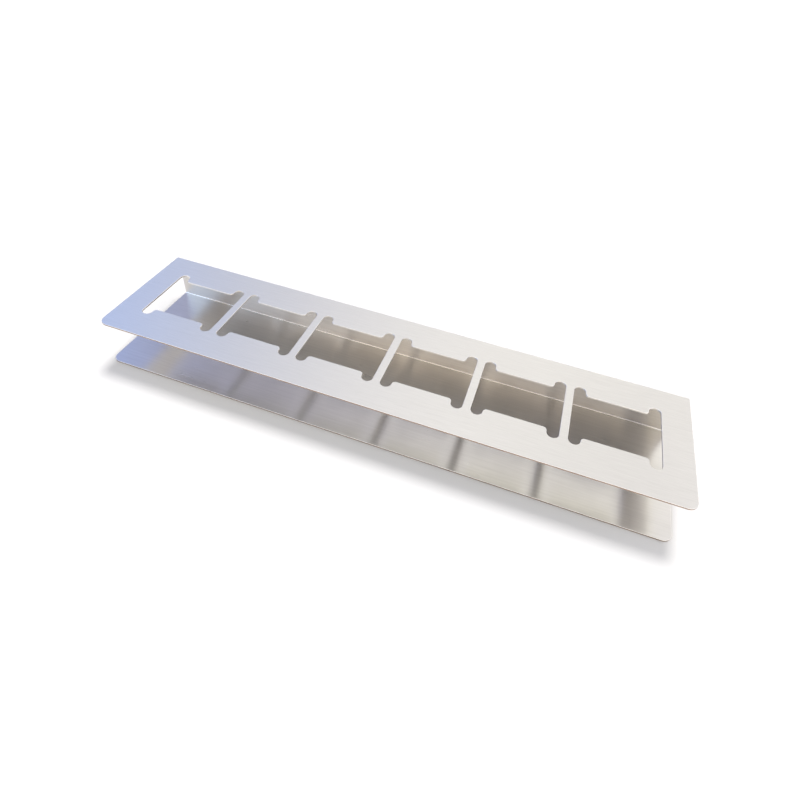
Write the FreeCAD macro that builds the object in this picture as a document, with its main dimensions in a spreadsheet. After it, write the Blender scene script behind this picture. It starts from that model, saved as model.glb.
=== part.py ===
import FreeCAD, Part
import math
import os
import Sketcher

# Slide staining rack: one strip of stainless sheet, laser cut and folded twice into a long
# channel. The channel lies on its bottom plate, its web is the back wall, and the top plate
# carries a row of equal openings that the staining jars drop into.
#
# Frame: X runs along the rack, Y from the open front to the back wall, Z up.
# The origin is the middle of the bottom plate's underside. Sizes are in millimetres.

SIZES = [
    ("RackLength", 470.0, "along the row of openings"),
    ("RackDepth", 110.0, "front edge to the outside of the back wall"),
    ("RackHeight", 43.0, "underside of the bottom plate to the top plate's upper face"),
    ("SheetGauge", 1.5, "thickness of the sheet"),
    ("BendRadius", 2.0, "inside radius of both folds"),
    ("FrontCornerRadius", 7.5, "front corners of both plates, seen from above"),
    ("EndMargin", 20.0, "least metal from an end of the rack to the nearest opening"),
    ("BarWidth", 6.4, "bar between two openings"),
    ("OpeningWidth", 65.6, "along X, outside edge to outside edge of the ears"),
    ("OpeningDepth", 44.6, "front lip to back lip"),
    ("FrontMargin", 33.2, "front edge of the top plate to the front lip"),
    ("EarWidth", 9.0, "slot with a full round end, at each corner of an opening"),
    ("CheekLength", 0.7, "straight side of an ear, from its round end to the lip's corner"),
    ("LipCornerRadius", 3.0, "corner between a lip and the ear beside it"),
]

# The openings stand one bar apart, and the row has as many as the length has room for.
PITCH = "(Sizes.OpeningWidth + Sizes.BarWidth)"
COUNT = f"floor((Sizes.RackLength - 2 * Sizes.EndMargin + Sizes.BarWidth) / {PITCH})"

doc = FreeCAD.newDocument("SlideStainingRack")


def makeSizeSheet():
    """Write each driving size into a cell of its own, under its alias."""
    sheet = doc.addObject("Spreadsheet::Sheet", "Sizes")
    for row, (alias, value, note) in enumerate(SIZES, start=1):
        sheet.set(f"A{row}", alias)
        sheet.set(f"B{row}", str(value))
        sheet.set(f"C{row}", note)
        sheet.setAlias(f"B{row}", alias)
    doc.recompute()
    return sheet


sizes = makeSizeSheet()


def originFeature(body, role):
    """Give the body's own origin plane or axis that has this role."""
    return next(item for item in body.Origin.OriginFeatures if item.Role == role)


def addSketch(body, name, role):
    sketch = body.newObject("Sketcher::SketchObject", name)
    sketch.AttachmentSupport = (originFeature(body, role), "")
    sketch.MapMode = "FlatFace"
    return sketch


def drawLoop(sketch, segments):
    """Draw a closed chain of named lines and arcs, joined end to end, and give each one's index.

    A line is (name, start, end, direction), where the direction is "Horizontal" or "Vertical".
    An arc is (name, centre, radius, first angle, last angle) in degrees, and turns clockwise
    where the last angle is the smaller one. An arc is tangent to what it joins.
    """
    edges, ends, arcs = {}, [], []
    for name, *shape in segments:
        if len(shape) == 3:
            start, end, direction = shape
            line = Part.LineSegment(FreeCAD.Vector(*start), FreeCAD.Vector(*end))
            index = sketch.addGeometry(line)
            sketch.addConstraint(Sketcher.Constraint(direction, index))
            ends.append((index, 1, 2))
        else:
            centre, radius, first, last = shape
            circle = Part.Circle(FreeCAD.Vector(*centre), FreeCAD.Vector(0, 0, 1), radius)
            low, high = sorted((math.radians(first), math.radians(last)))
            index = sketch.addGeometry(Part.ArcOfCircle(circle, low, high))
            ends.append((index, 1, 2) if first < last else (index, 2, 1))
            arcs.append(index)
        edges[name] = index
    for here, after in zip(ends, ends[1:] + ends[:1]):
        joint = "Tangent" if here[0] in arcs or after[0] in arcs else "Coincident"
        sketch.addConstraint(Sketcher.Constraint(joint, here[0], here[2], after[0], after[1]))
    return edges


def drawnSize(sketch, kind, where):
    """Measure what a dimension is about to hold, on the sketch as it is drawn."""
    if kind == "Radius":
        return sketch.Geometry[where[0]].Radius
    span = sketch.getPoint(*where[2:]) - sketch.getPoint(*where[:2])
    return span.x if kind == "DistanceX" else span.y


def dimension(sketch, kind, name, formula, *where):
    """Add one driving dimension and bind it to the size sheet."""
    start = drawnSize(sketch, kind, where)
    index = sketch.addConstraint(Sketcher.Constraint(kind, *where, start))
    sketch.renameConstraint(index, name)
    sketch.setExpression(f"Constraints.{name}", formula)


def makeChannel(body):
    """Pad the folded section along the whole length of the rack."""
    front, back = -sizes.RackDepth / 2, sizes.RackDepth / 2
    gauge, inside = sizes.SheetGauge, sizes.BendRadius
    outside = inside + gauge
    top = sizes.RackHeight
    bend = back - outside
    section = addSketch(body, "ChannelSection", "YZ_Plane")
    edge = drawLoop(section, [
        ("underside", (front, 0, 0), (bend, 0, 0), "Horizontal"),
        ("lowOuterBend", (bend, outside, 0), outside, 270, 360),
        ("wallOutside", (back, outside, 0), (back, top - outside, 0), "Vertical"),
        ("highOuterBend", (bend, top - outside, 0), outside, 0, 90),
        ("upperFace", (bend, top, 0), (front, top, 0), "Horizontal"),
        ("topPlateEdge", (front, top, 0), (front, top - gauge, 0), "Vertical"),
        ("ceiling", (front, top - gauge, 0), (bend, top - gauge, 0), "Horizontal"),
        ("highInnerBend", (bend, top - outside, 0), inside, 90, 0),
        ("wallInside", (back - gauge, top - outside, 0), (back - gauge, outside, 0), "Vertical"),
        ("lowInnerBend", (bend, outside, 0), inside, 360, 270),
        ("floor", (bend, gauge, 0), (front, gauge, 0), "Horizontal"),
        ("bottomPlateEdge", (front, gauge, 0), (front, 0, 0), "Vertical"),
    ])
    hold = section.addConstraint
    hold(Sketcher.Constraint("PointOnObject", edge["underside"], 1, -1))
    hold(Sketcher.Constraint("Coincident", edge["lowOuterBend"], 3, edge["lowInnerBend"], 3))
    hold(Sketcher.Constraint("Coincident", edge["highOuterBend"], 3, edge["highInnerBend"], 3))
    hold(Sketcher.Constraint("Equal", edge["lowOuterBend"], edge["highOuterBend"]))
    hold(Sketcher.Constraint("Vertical", edge["underside"], 1, edge["ceiling"], 1))
    dimension(section, "DistanceX", "FrontPlace", "Sizes.RackDepth / 2", edge["underside"], 1, -1, 1)
    dimension(section, "DistanceX", "Depth", "Sizes.RackDepth",
              edge["underside"], 1, edge["wallOutside"], 1)
    dimension(section, "DistanceY", "Height", "Sizes.RackHeight",
              edge["underside"], 1, edge["upperFace"], 1)
    dimension(section, "DistanceY", "Gauge", "Sizes.SheetGauge",
              edge["bottomPlateEdge"], 2, edge["bottomPlateEdge"], 1)
    dimension(section, "Radius", "InsideBend", "Sizes.BendRadius", edge["lowInnerBend"])
    channel = body.newObject("PartDesign::Pad", "Channel")
    channel.Profile = section
    channel.SideType = "Symmetric"
    channel.setExpression("Length", "Sizes.RackLength")
    doc.recompute()
    return channel


def frontCornerEdges(shape):
    """Name the short upright edges at the open front corners of both plates."""
    names = []
    for number, edge in enumerate(shape.Edges, start=1):
        ends = [vertex.Point for vertex in edge.Vertexes]
        if len(ends) != 2:
            continue
        run = ends[1] - ends[0]
        isUpright = abs(run.z) > 0.99 * run.Length
        isAtFront = ends[0].y < 0.01 - sizes.RackDepth / 2
        if isUpright and isAtFront:
            names.append(f"Edge{number}")
    return names


def roundFrontCorners(body, channel):
    corners = body.newObject("PartDesign::Fillet", "FrontCorners")
    corners.Base = (channel, frontCornerEdges(channel.Shape))
    corners.setExpression("Radius", "Sizes.FrontCornerRadius")
    doc.recompute()
    return corners


def drawOpening(body):
    """Draw the first opening of the row: a wide window with a round-ended ear at each corner."""
    earRound, corner = sizes.EarWidth / 2, sizes.LipCornerRadius
    left = sizes.EndMargin - sizes.RackLength / 2
    right = left + sizes.OpeningWidth
    low = sizes.FrontMargin - sizes.RackDepth / 2
    high = low + sizes.OpeningDepth
    earLow, earHigh = low - corner - sizes.CheekLength, high + corner + sizes.CheekLength
    leftCheek, rightCheek = left + sizes.EarWidth, right - sizes.EarWidth
    leftLip, rightLip = leftCheek + corner, rightCheek - corner
    outline = addSketch(body, "OpeningOutline", "XY_Plane")
    outline.setExpression("AttachmentOffset.Base.z", "Sizes.RackHeight")
    edge = drawLoop(outline, [
        ("leftSide", (left, earHigh, 0), (left, earLow, 0), "Vertical"),
        ("frontLeftEar", (left + earRound, earLow, 0), earRound, 180, 360),
        ("frontLeftCheek", (leftCheek, earLow, 0), (leftCheek, low - corner, 0), "Vertical"),
        ("frontLeftCorner", (leftLip, low - corner, 0), corner, 180, 90),
        ("frontLip", (leftLip, low, 0), (rightLip, low, 0), "Horizontal"),
        ("frontRightCorner", (rightLip, low - corner, 0), corner, 90, 0),
        ("frontRightCheek", (rightCheek, low - corner, 0), (rightCheek, earLow, 0), "Vertical"),
        ("frontRightEar", (right - earRound, earLow, 0), earRound, 180, 360),
        ("rightSide", (right, earLow, 0), (right, earHigh, 0), "Vertical"),
        ("backRightEar", (right - earRound, earHigh, 0), earRound, 0, 180),
        ("backRightCheek", (rightCheek, earHigh, 0), (rightCheek, high + corner, 0), "Vertical"),
        ("backRightCorner", (rightLip, high + corner, 0), corner, 360, 270),
        ("backLip", (rightLip, high, 0), (leftLip, high, 0), "Horizontal"),
        ("backLeftCorner", (leftLip, high + corner, 0), corner, 270, 180),
        ("backLeftCheek", (leftCheek, high + corner, 0), (leftCheek, earHigh, 0), "Vertical"),
        ("backLeftEar", (left + earRound, earHigh, 0), earRound, 0, 180),
    ])
    hold = outline.addConstraint
    for place in ("frontRight", "backRight", "backLeft"):
        hold(Sketcher.Constraint("Equal", edge["frontLeftEar"], edge[f"{place}Ear"]))
        hold(Sketcher.Constraint("Equal", edge["frontLeftCorner"], edge[f"{place}Corner"]))
    hold(Sketcher.Constraint("Horizontal", edge["frontLeftEar"], 3, edge["frontRightEar"], 3))
    hold(Sketcher.Constraint("Horizontal", edge["backLeftEar"], 3, edge["backRightEar"], 3))
    dimension(outline, "Radius", "EarRound", "Sizes.EarWidth / 2", edge["frontLeftEar"])
    dimension(outline, "Radius", "LipCorner", "Sizes.LipCornerRadius", edge["frontLeftCorner"])
    dimension(outline, "DistanceX", "Width", "Sizes.OpeningWidth",
              edge["leftSide"], 1, edge["rightSide"], 1)
    dimension(outline, "DistanceY", "Depth", "Sizes.OpeningDepth",
              edge["frontLip"], 1, edge["backLip"], 1)
    dimension(outline, "DistanceY", "FrontCheek", "Sizes.CheekLength",
              edge["frontLeftCheek"], 1, edge["frontLeftCheek"], 2)
    dimension(outline, "DistanceY", "BackCheek", "Sizes.CheekLength",
              edge["backLeftCheek"], 1, edge["backLeftCheek"], 2)
    halfRow = f"({COUNT} * {PITCH} - Sizes.BarWidth) / 2"
    dimension(outline, "DistanceX", "RowStart", halfRow, edge["leftSide"], 1, -1, 1)
    lipPlace = "Sizes.RackDepth / 2 - Sizes.FrontMargin"
    dimension(outline, "DistanceY", "LipPlace", lipPlace, edge["frontLip"], 1, -1, 1)
    return outline


def cutOpenings(body):
    """Cut the first opening down through the top plate alone, and repeat it along the row."""
    opening = body.newObject("PartDesign::Pocket", "Opening")
    opening.Profile = drawOpening(body)
    opening.setExpression("Length", "Sizes.SheetGauge * 2")
    doc.recompute()
    row = body.newObject("PartDesign::LinearPattern", "OpeningRow")
    row.Originals = [opening]
    row.Direction = (originFeature(body, "X_Axis"), [""])
    row.Mode = "Spacing"
    row.setExpression("Offset", PITCH)
    row.setExpression("Occurrences", COUNT)
    body.Tip = row
    doc.recompute()
    return row


def openingArea():
    """Area of one opening: its window, four ears, and what the rounded lip corners open up."""
    corner = sizes.LipCornerRadius
    straightEar = sizes.EarWidth * (sizes.CheekLength + corner)
    roundEnd = math.pi * (sizes.EarWidth / 2) ** 2 / 2
    lipCorner = corner ** 2 * (1 - math.pi / 4)
    return sizes.OpeningWidth * sizes.OpeningDepth + 4 * (straightEar + roundEnd + lipCorner)


def checkModel(parts):
    """Stop if a feature failed, or if a piece isn't one valid solid."""
    failed = [item.Name for item in doc.Objects
              if "Invalid" in item.State or "Error" in item.State]
    if failed:
        raise RuntimeError(f"failed features: {failed}")
    for piece in parts:
        if piece.Shape.isNull() or not piece.Shape.isValid() or len(piece.Shape.Solids) != 1:
            raise RuntimeError(f"{piece.Label} isn't one valid solid")


rack = doc.addObject("PartDesign::Body", "FoldedRack")
rack.Label = "folded_rack"
plainChannel = makeChannel(rack)
roundedChannel = roundFrontCorners(rack, plainChannel)
openingRow = cutOpenings(rack)
checkModel([rack])

cutVolume = roundedChannel.Shape.Volume - rack.Shape.Volume
wantedVolume = openingRow.Occurrences * openingArea() * sizes.SheetGauge
if abs(cutVolume - wantedVolume) > 0.001 * wantedVolume:
    raise RuntimeError(f"the openings cut {cutVolume:.1f} mm3 and not {wantedVolume:.1f} mm3")

os.makedirs("parts", exist_ok=True)
rack.Shape.exportStep(f"parts/{rack.Label}.step")
print(f"{rack.Label}: {rack.Shape.Volume / 1000:.1f} cm3, box {rack.Shape.BoundBox}")
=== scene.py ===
import bmesh
import bpy
import math
from mathutils import Euler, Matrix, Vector


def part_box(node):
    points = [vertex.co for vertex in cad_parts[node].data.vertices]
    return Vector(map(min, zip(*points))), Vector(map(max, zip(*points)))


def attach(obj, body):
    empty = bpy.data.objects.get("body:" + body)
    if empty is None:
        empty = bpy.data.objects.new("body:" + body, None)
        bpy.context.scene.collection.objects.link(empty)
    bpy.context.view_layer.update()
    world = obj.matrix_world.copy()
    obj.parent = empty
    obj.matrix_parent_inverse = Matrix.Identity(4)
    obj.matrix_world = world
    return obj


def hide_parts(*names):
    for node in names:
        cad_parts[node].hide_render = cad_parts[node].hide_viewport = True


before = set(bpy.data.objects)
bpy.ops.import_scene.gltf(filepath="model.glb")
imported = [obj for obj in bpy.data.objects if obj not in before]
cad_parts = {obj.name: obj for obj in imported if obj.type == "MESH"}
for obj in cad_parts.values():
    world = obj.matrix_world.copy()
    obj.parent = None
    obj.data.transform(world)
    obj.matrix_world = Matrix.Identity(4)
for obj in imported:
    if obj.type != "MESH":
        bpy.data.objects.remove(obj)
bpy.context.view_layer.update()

# everything is in metres; sizes in the dictionaries are in millimetres
mm = 0.001
rackNode = "folded_rack"
rackLow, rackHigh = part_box(rackNode)


def linearColour(hexCode):
    # sRGB hex to the linear values that the shaders take
    channels = [int(hexCode[i:i + 2], 16) / 255 for i in (1, 3, 5)]
    return [c / 12.92 if c <= 0.04045 else ((c + 0.055) / 1.055) ** 2.4 for c in channels] + [1.0]


def addNode(tree, kind, inputs=None, **settings):
    # inputs maps a socket's name or number to a value, or to the socket that feeds it
    node = tree.nodes.new(kind)
    for name, value in settings.items():
        setattr(node, name, value)
    for socket, value in (inputs or {}).items():
        if isinstance(value, bpy.types.NodeSocket):
            tree.links.new(value, node.inputs[socket])
        else:
            node.inputs[socket].default_value = value
    return node


# camera

cameraView = {
    "place": (87.35, -301.88, 335.50),
    "turn": (46.419, -3.820, 19.696),   # degrees
    "lens": 23.912,
    "sensor": 36.0,
    "shift": (0.0156, -0.0455),
    "clip": (0.01, 50.0),               # metres
}


def makeCamera():
    data = bpy.data.cameras.new("photoCamera")
    data.sensor_width = cameraView["sensor"]
    data.lens = cameraView["lens"]
    data.shift_x, data.shift_y = cameraView["shift"]
    data.clip_start, data.clip_end = cameraView["clip"]
    camera = bpy.data.objects.new("photoCamera", data)
    camera.location = [v * mm for v in cameraView["place"]]
    camera.rotation_euler = Euler([math.radians(v) for v in cameraView["turn"]])
    bpy.context.scene.collection.objects.link(camera)
    bpy.context.scene.camera = camera


makeCamera()
print("camera set")


# materials of the sheet, which is ground on one side only

def startMetal(name):
    # a new metal: its material, node tree and shader, and the piece's own coordinates
    material = bpy.data.materials.new(name)
    material.use_nodes = True
    tree = material.node_tree
    shader = tree.nodes["Principled BSDF"]
    shader.inputs["Metallic"].default_value = 1.0
    place = addNode(tree, "ShaderNodeTexCoord").outputs["Object"]
    return material, tree, shader, place


def followGrain(tree, shader, anisotropy):
    # the grain runs along the flat blank, and reflections smear across it: a quarter of a turn
    # lays the wide side of the gloss across the tangent
    quarterTurn = 0.25
    tangent = addNode(tree, "ShaderNodeTangent", direction_type="UV_MAP", uv_map="sheetUV")
    tree.links.new(tangent.outputs["Tangent"], shader.inputs["Tangent"])
    shader.inputs["Anisotropic"].default_value = anisotropy
    shader.inputs["Anisotropic Rotation"].default_value = quarterTurn


def stretchedNoise(tree, place, spacing, seed):
    # noise drawn out along the rack: a cell is spacing[0] long and spacing[1] wide, in mm
    along, across = spacing
    stretched = addNode(tree, "ShaderNodeMapping", {
        "Vector": place,
        "Location": (seed, seed, seed),
        "Scale": (1 / (along * mm), 1 / (across * mm), 1 / (across * mm)),
    })
    noise = addNode(tree, "ShaderNodeTexNoise", {
        "Vector": stretched.outputs["Vector"], "Scale": 1.0, "Detail": 3.0, "Roughness": 0.6})
    return noise.outputs["Fac"]


brushedLook = {
    "light": "#EDEBE7",             # between the scratches
    "dark": "#E2E0DC",              # in the scratches
    "roughness": (0.41, 0.46),
    "grain": (22.0, 0.55),          # mm along and across; real grit, about 0.1 mm, is too fine to show
    "fineGrain": (9.0, 0.22),       # mm, for close views
    "seeds": (3.0, 11.0),           # of the grain and of the fine grain
    "fineShare": 0.45,              # of the fine grain in the two together
    "threadRange": (0.32, 0.68),    # noise that gives a dark and a light thread
    "cloud": 70.0,                  # mm, slow change of the finish over the sheet
    "cloudShare": 0.5,              # of the clouds in the roughness, beside the threads
    "cloudRange": (0.2, 0.8),       # noise that gives the roughest and the smoothest
    "bump": (0.12, 0.03),           # strength, and depth in mm
    "anisotropy": 0.92,
}


def brushedStainless():
    # stainless sheet ground with a belt: fine straight scratches along the rack, which smear
    # reflections across the grain and leave a silky grey with slightly brighter and darker threads
    material, tree, shader, place = startMetal("brushedStainless")
    coarseSeed, fineSeed = brushedLook["seeds"]
    coarse = stretchedNoise(tree, place, brushedLook["grain"], coarseSeed)
    fine = stretchedNoise(tree, place, brushedLook["fineGrain"], fineSeed)
    both = addNode(tree, "ShaderNodeMix", {
        0: brushedLook["fineShare"], 2: coarse, 3: fine}, data_type="FLOAT")
    darkest, lightest = brushedLook["threadRange"]
    threads = addNode(tree, "ShaderNodeMapRange", {
        "Value": both.outputs[0], "From Min": darkest, "From Max": lightest})
    cloud = addNode(tree, "ShaderNodeTexNoise", {
        "Vector": place, "Scale": 1 / (brushedLook["cloud"] * mm), "Detail": 2.0})
    tone = addNode(tree, "ShaderNodeMix", {
        "Factor": threads.outputs["Result"],
        6: linearColour(brushedLook["dark"]), 7: linearColour(brushedLook["light"])}, data_type="RGBA")
    tree.links.new(tone.outputs[2], shader.inputs["Base Color"])
    low, high = brushedLook["roughness"]
    blend = addNode(tree, "ShaderNodeMix", {
        0: brushedLook["cloudShare"], 2: threads.outputs["Result"], 3: cloud.outputs["Fac"]},
        data_type="FLOAT")
    roughest, smoothest = brushedLook["cloudRange"]
    rough = addNode(tree, "ShaderNodeMapRange", {
        "Value": blend.outputs[0], "From Min": roughest, "From Max": smoothest,
        "To Min": high, "To Max": low})
    tree.links.new(rough.outputs["Result"], shader.inputs["Roughness"])
    strength, depth = brushedLook["bump"]
    bump = addNode(tree, "ShaderNodeBump", {
        "Height": both.outputs[0], "Strength": strength, "Distance": depth * mm})
    tree.links.new(bump.outputs["Normal"], shader.inputs["Normal"])
    followGrain(tree, shader, brushedLook["anisotropy"])
    return material


millLook = {
    "light": "#DBD8D4",
    "dark": "#CBC8C4",
    "roughness": (0.27, 0.30),
    "rollLines": (60.0, 1.6),       # mm along and across
    "seed": 5.0,                    # of the roll lines
    "cloud": 35.0,                  # mm, patches left by the rolls
    "cloudShare": 0.5,              # of the clouds, beside the roll lines
    "range": (0.3, 0.7),            # noise that gives the dark and the light tone
    "anisotropy": 0.82,
    "paintedFoldLight": "#E9E6E0",           # painted highlight: paler where the inside of a fold mirrors the light
    "paintedFoldLightRoughness": 0.20,
    "paintedFoldLightWidth": (1.2, 2.2),     # mm from the middle of a fold, on the outer skin
}


def millStainless():
    # the side that wasn't ground, as the cold rolls left it: a little greyer and smoother, with
    # faint clouds and roll lines along the rack, so bars and openings show in it as soft streaks
    material, tree, shader, place = startMetal("millStainless")
    lines = stretchedNoise(tree, place, millLook["rollLines"], millLook["seed"])
    cloud = addNode(tree, "ShaderNodeTexNoise", {
        "Vector": place, "Scale": 1 / (millLook["cloud"] * mm), "Detail": 3.0})
    both = addNode(tree, "ShaderNodeMix", {
        0: millLook["cloudShare"], 2: lines, 3: cloud.outputs["Fac"]}, data_type="FLOAT")
    darkest, lightest = millLook["range"]
    spread = addNode(tree, "ShaderNodeMapRange", {
        "Value": both.outputs[0], "From Min": darkest, "From Max": lightest})
    tone = addNode(tree, "ShaderNodeMix", {
        "Factor": spread.outputs["Result"],
        6: linearColour(millLook["dark"]), 7: linearColour(millLook["light"])}, data_type="RGBA")
    low, high = millLook["roughness"]
    rough = addNode(tree, "ShaderNodeMapRange", {
        "Value": both.outputs[0], "From Min": darkest, "From Max": lightest,
        "To Min": high, "To Max": low})

    # a thin bright, smoother line is painted along the inside of each fold: painted highlight where
    # the bend mirrors the light
    foldOne, wallStart, foldTwo, bottomStart, _ = blankBands()
    sheetPlace = addNode(tree, "ShaderNodeUVMap", uv_map="sheetUV").outputs["UV"]
    down = addNode(tree, "ShaderNodeSeparateXYZ", {0: sheetPlace}).outputs["Y"]
    distances = []
    for middle in ((foldOne + wallStart) / 2, (foldTwo + bottomStart) / 2):
        past = addNode(tree, "ShaderNodeMath", {0: down, 1: middle * mm}, operation="SUBTRACT")
        distance = addNode(tree, "ShaderNodeMath", {0: past.outputs[0]}, operation="ABSOLUTE")
        distances.append(distance.outputs[0])
    nearest = addNode(tree, "ShaderNodeMath", dict(enumerate(distances)), operation="MINIMUM")
    inner, outer = millLook["paintedFoldLightWidth"]
    paintedFoldLight = addNode(tree, "ShaderNodeMapRange", {
        "Value": nearest.outputs[0], "From Min": inner * mm, "From Max": outer * mm,
        "To Min": 1.0, "To Max": 0.0}).outputs["Result"]
    # painted highlight: the tone turns paler towards the middle of each fold
    bright = addNode(tree, "ShaderNodeMix", {
        "Factor": paintedFoldLight, 6: tone.outputs[2], 7: linearColour(millLook["paintedFoldLight"])}, data_type="RGBA")
    smooth = addNode(tree, "ShaderNodeMix", {
        0: paintedFoldLight, 2: rough.outputs["Result"], 3: millLook["paintedFoldLightRoughness"]}, data_type="FLOAT")
    tree.links.new(bright.outputs[2], shader.inputs["Base Color"])
    tree.links.new(smooth.outputs[0], shader.inputs["Roughness"])
    followGrain(tree, shader, millLook["anisotropy"])
    return material


cutLook = {
    # painted reflection: both tones are tinted straw-brown
    "light": "#B49273",
    "dark": "#6A5243",
    "striation": 0.25,              # mm between the beam's marks
    "heightShare": 0.12,            # how fast the marks change with height, next to along the edge
    "bump": (0.3, 0.03),            # strength, and depth in mm
    "roughness": 0.42,
}


def laserCutEdge():
    # the blank's outline as the laser left it: upright striations, light and dark, in a straw-brown
    # that is a painted reflection of warm surroundings; it gives both plates a brown line along their
    # edges
    material, tree, shader, place = startMetal("laserCutEdge")
    step = cutLook["striation"] * mm
    upright = addNode(tree, "ShaderNodeMapping", {
        "Vector": place, "Scale": (1 / step, 1 / step, cutLook["heightShare"] / step)})
    marks = addNode(tree, "ShaderNodeTexNoise", {
        "Vector": upright.outputs["Vector"], "Scale": 1.0, "Detail": 2.0})
    tone = addNode(tree, "ShaderNodeMix", {
        "Factor": marks.outputs["Fac"],
        6: linearColour(cutLook["dark"]), 7: linearColour(cutLook["light"])}, data_type="RGBA")
    strength, depth = cutLook["bump"]
    bump = addNode(tree, "ShaderNodeBump", {
        "Height": marks.outputs["Fac"], "Strength": strength, "Distance": depth * mm})
    tree.links.new(tone.outputs[2], shader.inputs["Base Color"])
    tree.links.new(bump.outputs["Normal"], shader.inputs["Normal"])
    shader.inputs["Roughness"].default_value = cutLook["roughness"]
    return material


deburrLook = {
    "light": "#F8F5F0",
    "dark": "#E6E3DE",
    "roughness": 0.5,
    "patch": 2.0,                   # mm
}


def deburredCorner():
    # the corners between face and cut, and the cuts inside the openings, rubbed over with a file:
    # pale, matt rims without the painted brown, patchy where the file pressed less
    material, tree, shader, place = startMetal("deburredCorner")
    rubbed = addNode(tree, "ShaderNodeTexNoise", {
        "Vector": place, "Scale": 1 / (deburrLook["patch"] * mm), "Detail": 2.0})
    tone = addNode(tree, "ShaderNodeMix", {
        "Factor": rubbed.outputs["Fac"],
        6: linearColour(deburrLook["dark"]), 7: linearColour(deburrLook["light"])}, data_type="RGBA")
    tree.links.new(tone.outputs[2], shader.inputs["Base Color"])
    shader.inputs["Roughness"].default_value = deburrLook["roughness"]
    return material


# the folded rack

rackSizes = {
    "gauge": 1.5,
    "bendRadius": 1.0,              # inside
    "cornerRadius": 7.5,
    "openings": 6,
    "bar": 6.4,
    "openingWidth": 65.6,
    "openingDepth": 44.6,
    "frontMargin": 33.2,
    "earWidth": 9.0,
    "cheek": 0.7,                   # straight part between the lip's corner and the ear
    "lipCorner": 3.0,
    "deburr": 0.32,
    "deburrSteps": 2,
    "sharpAngle": 40.0,             # degrees; a sharper corner than this is deburred
    "frontStrip": 1.0,              # behind the front edge, where no opening begins
    "arcSteps": 16,                 # straight steps in a quarter turn
    "weld": 0.01,                   # points closer than this become one
}
rackLength = (rackHigh.x - rackLow.x) / mm
rackDepth = (rackHigh.y - rackLow.y) / mm
rackHeight = (rackHigh.z - rackLow.z) / mm
outerBend = rackSizes["bendRadius"] + rackSizes["gauge"]
pitch = rackSizes["openingWidth"] + rackSizes["bar"]
openingMiddle = rackSizes["frontMargin"] + rackSizes["openingDepth"] / 2


def arcPoints(centre, radius, first, last):
    # points of an arc, angles in degrees, both ends included
    steps = max(2, round(rackSizes["arcSteps"] * abs(last - first) / 90))
    angles = [math.radians(first + (last - first) * i / steps) for i in range(steps + 1)]
    return [(centre[0] + radius * math.cos(a), centre[1] + radius * math.sin(a)) for a in angles]


def blankBands():
    # where each band of the flat blank ends, measured along its outer skin from the front edge
    # of the top plate, round the folds, to the front edge of the bottom plate
    foldOne = rackDepth - outerBend
    quarter = math.pi / 2 * outerBend
    wallStart = foldOne + quarter
    foldTwo = wallStart + rackHeight - 2 * outerBend
    bottomStart = foldTwo + quarter
    return foldOne, wallStart, foldTwo, bottomStart, bottomStart + foldOne


def crossLines():
    # the blank's cross lines from the first fold to the end of the second, close together in a fold
    foldOne, wallStart, foldTwo, bottomStart, _ = blankBands()
    steps = rackSizes["arcSteps"]
    lines = [foldOne + (wallStart - foldOne) * i / steps for i in range(steps + 1)]
    return lines + [foldTwo + (bottomStart - foldTwo) * i / steps for i in range(steps + 1)]


def halfOpening(side):
    # one half of an opening's outline, from its left side round to its right: side is -1 for
    # the half towards the front and 1 for the half towards the fold
    half = rackSizes["openingWidth"] / 2
    ear = rackSizes["earWidth"] / 2
    corner = rackSizes["lipCorner"]
    lip = openingMiddle + side * rackSizes["openingDepth"] / 2
    earCentre = lip + side * (corner + rackSizes["cheek"])
    points = [(-half, openingMiddle)]
    points += arcPoints((-half + ear, earCentre), ear, 180, 180 - side * 180)
    points += arcPoints((-half + 2 * ear + corner, lip + side * corner), corner, 180, 180 + side * 90)
    points += arcPoints((half - 2 * ear - corner, lip + side * corner), corner, -side * 90, 0)
    points += arcPoints((half - ear, earCentre), ear, 180, 180 - side * 180)
    return points + [(half, openingMiddle)]


def makeBlank(name, outlines):
    # a flat mesh on the blank: one face for each outline, in metres, all facing up
    shape = bmesh.new()
    for outline in outlines:
        corners = [shape.verts.new((x * mm, s * mm, 0)) for x, s in outline]
        face = shape.faces.new(corners)
        face.normal_update()
        if face.normal.z < 0:
            face.normal_flip()
    bmesh.ops.remove_doubles(shape, verts=shape.verts, dist=rackSizes["weld"] * mm)
    mesh = bpy.data.meshes.new(name)
    shape.to_mesh(mesh)
    shape.free()
    piece = bpy.data.objects.new(name, mesh)
    bpy.context.scene.collection.objects.link(piece)
    return piece


def bayOutlines():
    # one bay is one pitch of the blank with its opening, split across the middle of the opening
    side = pitch / 2
    foldOne, *_, end = blankBands()
    left, right = (-side, openingMiddle), (side, openingMiddle)
    front = [(-side, 0), left] + halfOpening(-1) + [right, (side, 0)]
    back = [(-side, foldOne), left] + halfOpening(1) + [right, (side, foldOne)]
    lines = crossLines() + [end]
    strips = [[(-side, a), (side, a), (side, b), (-side, b)] for a, b in zip(lines, lines[1:])]
    return [front, back] + strips


def endOutlines():
    # the plain end of the blank past the last bay, with a rounded corner on each plate
    inner = rackSizes["openings"] * pitch / 2
    outer = rackLength / 2
    radius = rackSizes["cornerRadius"]
    foldOne, _, _, bottomStart, end = blankBands()
    top = [(inner, foldOne), (inner, openingMiddle), (inner, 0)]
    top += arcPoints((outer - radius, radius), radius, -90, 0) + [(outer, foldOne)]
    bottom = [(inner, end), (inner, bottomStart), (outer, bottomStart)]
    bottom += arcPoints((outer - radius, end - radius), radius, 0, 90)
    lines = crossLines()
    strips = [[(inner, a), (outer, a), (outer, b), (inner, b)] for a, b in zip(lines, lines[1:])]
    return [top, bottom] + strips


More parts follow.
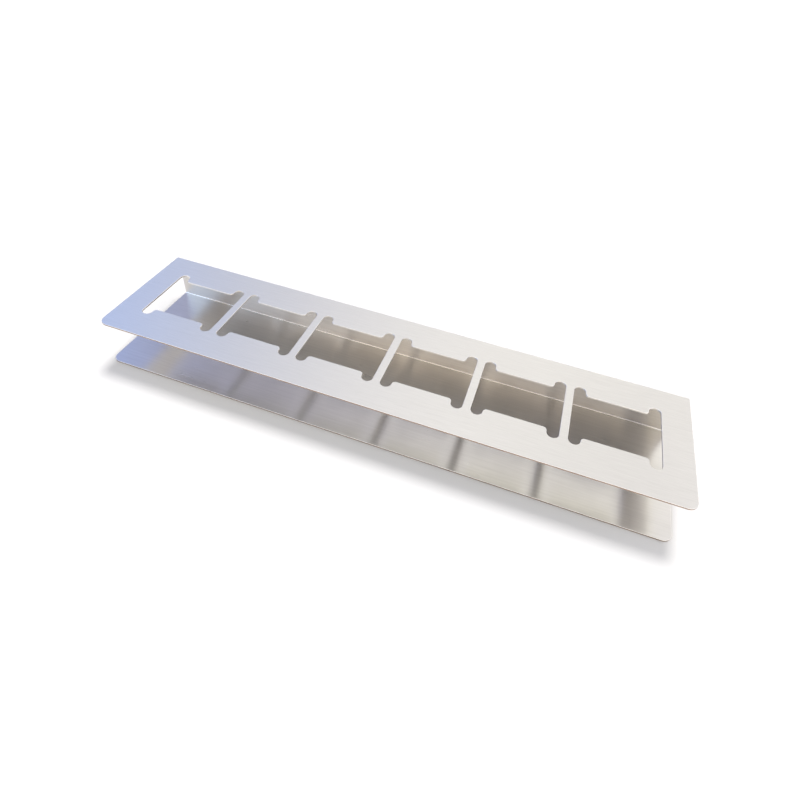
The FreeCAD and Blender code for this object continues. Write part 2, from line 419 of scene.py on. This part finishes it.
# what the folding tree works out step by step: a name, an operation and its two inputs. The fold
# lines are measured as in blankBands, and a point keeps its depth under the outer skin.
# nearOpening is 1 over the bays of the top plate, where the only cut faces are the openings' own
foldFormula = (
    ("gaps", "SUBTRACT", "Openings", 1.0),
    ("rowLength", "MULTIPLY", "gaps", "Pitch"),
    ("rowStart", "MULTIPLY", "rowLength", -0.5),
    ("down", "MULTIPLY", "Gauge", -1.0),
    ("foldOne", "SUBTRACT", "Depth", "Outer Bend"),
    ("quarter", "MULTIPLY", "Outer Bend", math.pi / 2),
    ("bothBends", "MULTIPLY", "Outer Bend", 2.0),
    ("wallLength", "SUBTRACT", "Height", "bothBends"),
    ("wallStart", "ADD", "foldOne", "quarter"),
    ("foldTwo", "ADD", "wallStart", "wallLength"),
    ("bottomStart", "ADD", "foldTwo", "quarter"),
    ("baysLength", "MULTIPLY", "Openings", "Pitch"),
    ("halfBays", "MULTIPLY", "baysLength", 0.5),
    ("aside", "ABSOLUTE", "across", 0.0),
    ("overBays", "LESS_THAN", "aside", "halfBays"),
    ("pastFront", "GREATER_THAN", "along", rackSizes["frontStrip"] * mm),
    ("beforeFold", "LESS_THAN", "along", "foldOne"),
    ("onMargins", "MULTIPLY", "overBays", "pastFront"),
    ("nearOpening", "MULTIPLY", "onMargins", "beforeFold"),
    ("pastOne", "SUBTRACT", "along", "foldOne"),
    ("intoOne", "MAXIMUM", "pastOne", 0.0),
    ("turnOne", "MINIMUM", "intoOne", "quarter"),
    ("pastTwo", "SUBTRACT", "along", "foldTwo"),
    ("intoTwo", "MAXIMUM", "pastTwo", 0.0),
    ("turnTwo", "MINIMUM", "intoTwo", "quarter"),
    ("turned", "ADD", "turnOne", "turnTwo"),
    ("angle", "DIVIDE", "turned", "Outer Bend"),
    ("onTop", "MINIMUM", "along", "foldOne"),
    ("pastWall", "SUBTRACT", "along", "wallStart"),
    ("intoWall", "MAXIMUM", "pastWall", 0.0),
    ("onWall", "MINIMUM", "intoWall", "wallLength"),
    ("pastBottom", "SUBTRACT", "along", "bottomStart"),
    ("onBottom", "MAXIMUM", "pastBottom", 0.0),
    ("arm", "ADD", "Outer Bend", "rise"),
    ("back", "SUBTRACT", "onTop", "onBottom"),
    ("halfDepth", "MULTIPLY", "Depth", 0.5),
    ("centreY", "SUBTRACT", "back", "halfDepth"),
    ("topCentre", "SUBTRACT", "Height", "Outer Bend"),
    ("centreZ", "SUBTRACT", "topCentre", "onWall"),
    ("sine", "SINE", "angle", 0.0),
    ("cosine", "COSINE", "angle", 0.0),
    ("outward", "MULTIPLY", "arm", "sine"),
    ("upward", "MULTIPLY", "arm", "cosine"),
    ("foldedY", "ADD", "centreY", "outward"),
    ("foldedZ", "ADD", "centreZ", "upward"),
)


def foldingTree(outerMaterial, innerMaterial, cutMaterial, rubbedMaterial):
    # lays out the row of bays and the two ends, gives the blank its thickness and folds it
    tree = bpy.data.node_groups.new("foldRack", "GeometryNodeTree")
    tree.interface.new_socket("Bay", in_out="INPUT", socket_type="NodeSocketGeometry")
    tree.interface.new_socket("End", in_out="INPUT", socket_type="NodeSocketObject")
    tree.interface.new_socket("Openings", in_out="INPUT", socket_type="NodeSocketInt")
    for name in ("Pitch", "Gauge", "Depth", "Height", "Outer Bend"):
        tree.interface.new_socket(name, in_out="INPUT", socket_type="NodeSocketFloat")
    tree.interface.new_socket("Rack", in_out="OUTPUT", socket_type="NodeSocketGeometry")
    given = addNode(tree, "NodeGroupInput").outputs

    # on the flat blank Y runs along the skin and Z is the height over it, nought or below
    place = addNode(tree, "GeometryNodeInputPosition").outputs[0]
    flat = addNode(tree, "ShaderNodeSeparateXYZ", {0: place}).outputs
    found = {socket.name: socket for socket in given if socket.name}
    found["across"], found["along"], found["rise"] = flat["X"], flat["Y"], flat["Z"]
    for name, operation, first, second in foldFormula:
        inputs = {0: found.get(first, first), 1: found.get(second, second)}
        found[name] = addNode(tree, "ShaderNodeMath", inputs, operation=operation).outputs[0]

    # the row of bays, centred on the rack
    first = addNode(tree, "ShaderNodeCombineXYZ", {"X": found["rowStart"]}).outputs[0]
    step = addNode(tree, "ShaderNodeCombineXYZ", {"X": given["Pitch"]}).outputs[0]
    row = addNode(tree, "GeometryNodeMeshLine", {
        "Count": given["Openings"], "Start Location": first, "Offset": step}, mode="OFFSET")
    bays = addNode(tree, "GeometryNodeInstanceOnPoints", {
        "Points": row.outputs[0], "Instance": given["Bay"]})
    rightEnd = addNode(tree, "GeometryNodeObjectInfo", {"Object": given["End"]})
    mirrored = addNode(tree, "GeometryNodeTransform", {
        "Geometry": rightEnd.outputs["Geometry"], "Scale": (-1, 1, 1)})
    leftEnd = addNode(tree, "GeometryNodeFlipFaces", {"Mesh": mirrored.outputs[0]})
    joined = addNode(tree, "GeometryNodeJoinGeometry")
    for piece in (bays.outputs[0], rightEnd.outputs["Geometry"], leftEnd.outputs[0]):
        tree.links.new(piece, joined.inputs[0])
    plain = addNode(tree, "GeometryNodeRealizeInstances", {0: joined.outputs[0]})
    blank = addNode(tree, "GeometryNodeMergeByDistance", {
        "Geometry": plain.outputs[0], "Distance": rackSizes["weld"] * mm})

    # thickness: the skin stays, and a copy of it is pushed down and turned over
    down = addNode(tree, "ShaderNodeCombineXYZ", {"Z": found["down"]}).outputs[0]
    pushed = addNode(tree, "GeometryNodeExtrudeMesh", {
        "Mesh": blank.outputs[0], "Offset": down, "Offset Scale": 1.0, "Individual": False})
    under = addNode(tree, "GeometryNodeFlipFaces", {"Mesh": pushed.outputs["Mesh"]})
    shell = addNode(tree, "GeometryNodeJoinGeometry")
    tree.links.new(blank.outputs[0], shell.inputs[0])
    tree.links.new(under.outputs[0], shell.inputs[0])
    solid = addNode(tree, "GeometryNodeMergeByDistance", {
        "Geometry": shell.outputs[0], "Distance": rackSizes["weld"] * mm})

    # before the fold the ground side faces up, the mill side down, and the cut faces stand upright
    facing = addNode(tree, "ShaderNodeSeparateXYZ", {
        0: addNode(tree, "GeometryNodeInputNormal").outputs[0]}).outputs["Z"]
    marked = addNode(tree, "GeometryNodeCaptureAttribute", domain="FACE")
    tree.links.new(solid.outputs[0], marked.inputs["Geometry"])
    for name, value in (("Facing", facing), ("Opening", found["nearOpening"])):
        marked.capture_items.new("FLOAT", name)
        tree.links.new(value, marked.inputs[name])
    above = addNode(tree, "FunctionNodeCompare", {
        0: marked.outputs["Facing"], 1: 0.5}, operation="GREATER_THAN")
    below = addNode(tree, "FunctionNodeCompare", {
        0: marked.outputs["Facing"], 1: -0.5}, operation="LESS_THAN")

    # the flat blank's own X and Y become the UV map, so the grain's direction follows the sheet
    mapped = addNode(tree, "GeometryNodeStoreNamedAttribute", {
        "Geometry": marked.outputs["Geometry"], "Name": "sheetUV", "Value": place},
        data_type="FLOAT2", domain="CORNER")
    folded = addNode(tree, "ShaderNodeCombineXYZ", {
        "X": flat["X"], "Y": found["foldedY"], "Z": found["foldedZ"]})
    placed = addNode(tree, "GeometryNodeSetPosition", {
        "Geometry": mapped.outputs[0], "Position": folded.outputs[0]})
    whole = addNode(tree, "GeometryNodeRealizeInstances", {0: placed.outputs[0]})
    edged = addNode(tree, "GeometryNodeSetMaterial", {
        "Geometry": whole.outputs[0], "Material": cutMaterial})
    rubbed = addNode(tree, "GeometryNodeSetMaterial", {
        "Geometry": edged.outputs[0], "Selection": marked.outputs["Opening"],
        "Material": rubbedMaterial})
    ground = addNode(tree, "GeometryNodeSetMaterial", {
        "Geometry": rubbed.outputs[0], "Selection": above.outputs[0], "Material": outerMaterial})
    milled = addNode(tree, "GeometryNodeSetMaterial", {
        "Geometry": ground.outputs[0], "Selection": below.outputs[0], "Material": innerMaterial})
    out = addNode(tree, "NodeGroupOutput")
    tree.links.new(milled.outputs[0], out.inputs[0])
    return tree


def makeRack():
    bay = makeBlank("rackBay", bayOutlines())
    end = makeBlank("rackEnd", endOutlines())
    rubbed = deburredCorner()
    tree = foldingTree(brushedStainless(), millStainless(), laserCutEdge(), rubbed)
    fold = bay.modifiers.new("fold", "NODES")
    fold.node_group = tree
    values = {
        "End": end,
        "Openings": rackSizes["openings"],
        "Pitch": pitch * mm,
        "Gauge": rackSizes["gauge"] * mm,
        "Depth": rackDepth * mm,
        "Height": rackHeight * mm,
        "Outer Bend": outerBend * mm,
    }
    for item in tree.interface.items_tree:
        if item.item_type == "SOCKET" and item.in_out == "INPUT" and item.name in values:
            fold[item.identifier] = values[item.name]
    bpy.context.view_layer.update()
    evaluated = bay.evaluated_get(bpy.context.evaluated_depsgraph_get())
    mesh = bpy.data.meshes.new_from_object(evaluated)
    mesh.name = "foldedSheet"
    rack = bpy.data.objects.new("foldedSheet", mesh)
    bpy.context.scene.collection.objects.link(rack)
    for helper in (bay, end):
        bpy.data.objects.remove(helper)
    for face in mesh.polygons:
        face.use_smooth = True
    deburr = rack.modifiers.new("deburr", "BEVEL")
    deburr.width = rackSizes["deburr"] * mm
    deburr.segments = rackSizes["deburrSteps"]
    deburr.limit_method = "ANGLE"
    deburr.angle_limit = math.radians(rackSizes["sharpAngle"])
    deburr.harden_normals = True
    deburr.material = mesh.materials.find(rubbed.name)
    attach(rack, "root")
    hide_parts(rackNode)
    print("rack folded:", len(mesh.polygons), "faces before the deburred corners")


makeRack()


# floor, world and lamp

studio = {
    "floorColour": "#C9C7C4",
    "floorSize": 12.0,              # metres
    "floorDrop": 0.1,               # mm under the rack, so the two planes don't share a height
    "roomColour": "#E6E5FF",
    "roomLevel": 0.62,
    "keyFrom": (0.0, 0.50, 1.25),
    "keyAngle": 18.0,               # degrees across, as seen from the rack
    "keyLevel": 2.9,
}
# soft panels round the rack: direction, stretch of the panel sideways, angle from the middle to
# the end of the glow (degrees), colour and level
softPanels = (
    ((0.14, 0.78, 0.62), 2.0, 24, "#FFFDE1", 1.80),
    ((-0.74, 0.28, 0.61), 1.0, 24, "#0090FF", 1.24),
    ((0.74, 0.20, 0.62), 2.0, 30, "#FFFFFF", 1.80),
    ((-0.15, -0.25, 0.95), 1.5, 32, "#F6FBEF", 1.64),
    ((-0.20, -0.76, 0.62), 1.3, 32, "#FFECC0", 1.62),
    ((-0.62, -0.50, 0.60), 1.0, 30, "#74BDFF", 1.80),
    ((0.55, -0.60, 0.60), 1.0, 30, "#FFF4B4", 1.80),
)


def makeFloor():
    # plain matt paper, lit until it is white, so that only the soft shadow shows on it
    mesh = bpy.data.meshes.new("floor")
    half = studio["floorSize"] / 2
    level = -studio["floorDrop"] * mm
    corners = [(-half, -half, level), (half, -half, level), (half, half, level), (-half, half, level)]
    mesh.from_pydata(corners, [], [(0, 1, 2, 3)])
    floor = bpy.data.objects.new("floor", mesh)
    bpy.context.scene.collection.objects.link(floor)
    material = bpy.data.materials.new("studioFloor")
    material.use_nodes = True
    tree = material.node_tree
    shader = tree.nodes["Principled BSDF"]
    shader.inputs["Base Color"].default_value = linearColour(studio["floorColour"])
    shader.inputs["Roughness"].default_value = 1.0
    shader.inputs["Specular IOR Level"].default_value = 0.0
    mesh.materials.append(material)


def makeWorld():
    world = bpy.data.worlds.new("studio")
    bpy.context.scene.world = world
    world.use_nodes = True
    tree = world.node_tree
    tree.nodes.clear()
    direction = addNode(tree, "ShaderNodeTexCoord").outputs["Generated"]
    total = addNode(tree, "ShaderNodeBackground", {
        "Color": linearColour(studio["roomColour"]), "Strength": studio["roomLevel"]}).outputs[0]
    for towards, sideways, spread, hexCode, level in softPanels:
        middle = Vector(towards).normalized()
        right = middle.cross(Vector((0, 0, 1))).normalized()
        upper = right.cross(middle)
        # the direction in the panel's own axes, squeezed sideways, and its angle from the middle
        axes = [addNode(tree, "ShaderNodeVectorMath", {0: direction, 1: axis},
                        operation="DOT_PRODUCT").outputs["Value"] for axis in (right, upper, middle)]
        squeezed = addNode(tree, "ShaderNodeMath", {0: axes[0], 1: sideways}, operation="DIVIDE")
        own = addNode(tree, "ShaderNodeCombineXYZ", {
            "X": squeezed.outputs[0], "Y": axes[1], "Z": axes[2]})
        unit = addNode(tree, "ShaderNodeVectorMath", {0: own.outputs[0]}, operation="NORMALIZE")
        depth = addNode(tree, "ShaderNodeSeparateXYZ", {0: unit.outputs[0]}).outputs["Z"]
        angle = addNode(tree, "ShaderNodeMath", {0: depth}, operation="ARCCOSINE")
        glow = addNode(tree, "ShaderNodeMapRange", {
            "Value": angle.outputs[0], "From Min": 0.0, "From Max": math.radians(spread),
            "To Min": level, "To Max": 0.0}, interpolation_type="SMOOTHSTEP")
        panel = addNode(tree, "ShaderNodeBackground", {
            "Color": linearColour(hexCode), "Strength": glow.outputs["Result"]})
        total = addNode(tree, "ShaderNodeAddShader", {0: total, 1: panel.outputs[0]}).outputs[0]
    # the camera sees plain white behind the rack; the steel mirrors the room and its panels, which
    # tint it cold on the left and warm on the right as in the photograph
    white = addNode(tree, "ShaderNodeBackground", {"Color": (1, 1, 1, 1), "Strength": 1.0})
    rays = addNode(tree, "ShaderNodeLightPath").outputs
    mixed = addNode(tree, "ShaderNodeMixShader", {
        0: rays["Is Camera Ray"], 1: total, 2: white.outputs[0]})
    out = addNode(tree, "ShaderNodeOutputWorld")
    tree.links.new(mixed.outputs[0], out.inputs["Surface"])


def makeKey():
    # one big soft lamp far behind: it whitens the floor and gives the soft shadow in front, and
    # isn't mirrored in the steel
    data = bpy.data.lights.new("key", "SUN")
    data.angle = math.radians(studio["keyAngle"])
    data.energy = studio["keyLevel"]
    lamp = bpy.data.objects.new("key", data)
    lamp.rotation_euler = (-Vector(studio["keyFrom"])).to_track_quat("-Z", "Y").to_euler()
    lamp.visible_glossy = False
    bpy.context.scene.collection.objects.link(lamp)


makeFloor()
makeWorld()
makeKey()
bpy.context.scene.view_settings.view_transform = "Standard"
print("studio set")
